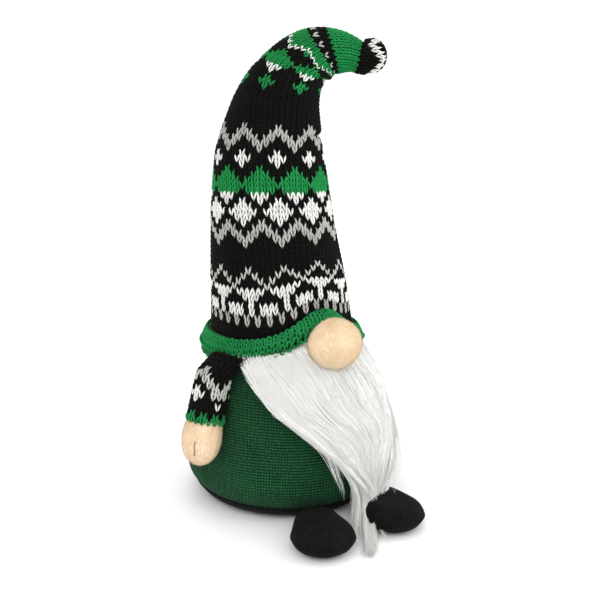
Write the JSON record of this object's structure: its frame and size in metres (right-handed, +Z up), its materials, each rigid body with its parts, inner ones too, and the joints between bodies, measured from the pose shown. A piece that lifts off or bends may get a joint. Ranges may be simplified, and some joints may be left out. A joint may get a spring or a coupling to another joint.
{
  "type": "tomte gnome figurine",
  "caption": "Stuffed gnome figure with a tall patterned knit hat on a bendable wire, ball nose, long white beard, hanging arms, pad feet and a weighted bag body.",
  "frame": {"origin": "centre of the flat base circle, on the surface it stands on", "axes": "+Z up to the hat, -Y to the front (nose), +X to the figure's left hand"},
  "size_m": [0.2212, 0.2358, 0.3993],
  "materials": {
    "base_fabric": "black brushed felt, matt",
    "cardboard": "plain greyboard",
    "ballast": "bag of sand and pellets in kraft cloth",
    "body_knit": "fine dark green knit with pale flecks",
    "filling": "white polyester fibre filling",
    "piping": "black overlocked seam thread",
    "brim_rib": "green rib knit, rolled",
    "hat_knit": "stranded colour knit in black, white, grey and green yarn",
    "hat_knit_green": "green and black stranded knit",
    "wire": "bare annealed steel wire",
    "fleece": "beige brushed fleece",
    "fur": "long white faux fur",
    "fur_backing": "knitted fur backing cloth",
    "sleeve_knit": "black knit with white and grey motifs",
    "cuff_rib": "green rib knit",
    "stitch": "brown-grey sewing thread",
    "felt": "black brushed felt"
  },
  "bodies": {
    "torso": {"base_panel": "base_fabric", "base_card": "cardboard", "ballast_bag": "ballast", "body_cover": "body_knit", "body_filling": "filling", "base_seam_piping": "piping", "hat_brim": "brim_rib", "hat_knit_lower": "hat_knit", "hat_filling_lower": "filling", "hat_wire_lower": "wire", "nose_cover": "fleece", "nose_filling": "filling", "beard_cheeks": "fur", "beard_backing": "fur_backing"},
    "hat_middle": {"hat_knit_middle": "hat_knit_green", "hat_filling_middle": "filling", "hat_wire_middle": "wire"},
    "hat_upper": {"hat_knit_upper": "hat_knit_green", "hat_filling_upper": "filling", "hat_wire_upper": "wire"},
    "hat_tip": {"hat_knit_tip": "hat_knit", "hat_filling_tip": "filling"},
    "beard": {"beard_hanging": "fur"},
    "arm_right": {"sleeve_right": "sleeve_knit", "cuff_right": "cuff_rib", "arm_filling_right": "filling", "hand_right": "fleece", "thumb_stitch_right": "stitch"},
    "foot_right": {"foot_upper_right": "felt", "foot_sole_right": "felt", "foot_filling_right": "filling"},
    "arm_left": {"sleeve_left": "sleeve_knit", "cuff_left": "cuff_rib", "arm_filling_left": "filling", "hand_left": "fleece", "thumb_stitch_left": "stitch"},
    "foot_left": {"foot_upper_left": "felt", "foot_sole_left": "felt", "foot_filling_left": "filling"}
  },
  "joints": [
    {"name": "hat_bend", "type": "hinge", "parent": "torso", "child": "hat_middle", "pos_m": [-0.00343, 0.02506, 0.308], "axis": [0.515, 0.8572, 0], "range_deg": [-15, 15]},
    {"name": "hat_crook", "type": "hinge", "parent": "hat_middle", "child": "hat_upper", "pos_m": [0.01259, 0.01543, 0.36553], "axis": [0.515, 0.8572, 0], "range_deg": [-20, 20]},
    {"name": "hat_tip_bend", "type": "hinge", "parent": "hat_upper", "child": "hat_tip", "pos_m": [0.06105, -0.01368, 0.37347], "axis": [0.515, 0.8572, 0], "range_deg": [-25, 25]},
    {"name": "beard_lift", "type": "hinge", "parent": "torso", "child": "beard", "pos_m": [0.005, -0.081, 0.101], "axis": [-1, 0, 0], "range_deg": [0, 60]},
    {"name": "arm_swing_right", "type": "hinge", "parent": "torso", "child": "arm_right", "pos_m": [-0.08137, -0.02029, 0.117], "axis": [-0.9703, -0.2419, 0], "range_deg": [-30, 80]},
    {"name": "arm_swing_left", "type": "hinge", "parent": "torso", "child": "arm_left", "pos_m": [0.07976, 0.02592, 0.117], "axis": [-0.9511, -0.309, 0], "range_deg": [-30, 80]},
    {"name": "foot_flex_right", "type": "hinge", "parent": "torso", "child": "foot_right", "pos_m": [-0.02529, -0.08272, 0.0105], "axis": [-0.9397, 0.342, 0], "range_deg": [-60, 8]},
    {"name": "foot_flex_left", "type": "hinge", "parent": "torso", "child": "foot_left", "pos_m": [0.03927, -0.07707, 0.0105], "axis": [-0.9781, 0.2079, 0], "range_deg": [-60, 8]}
  ]
}
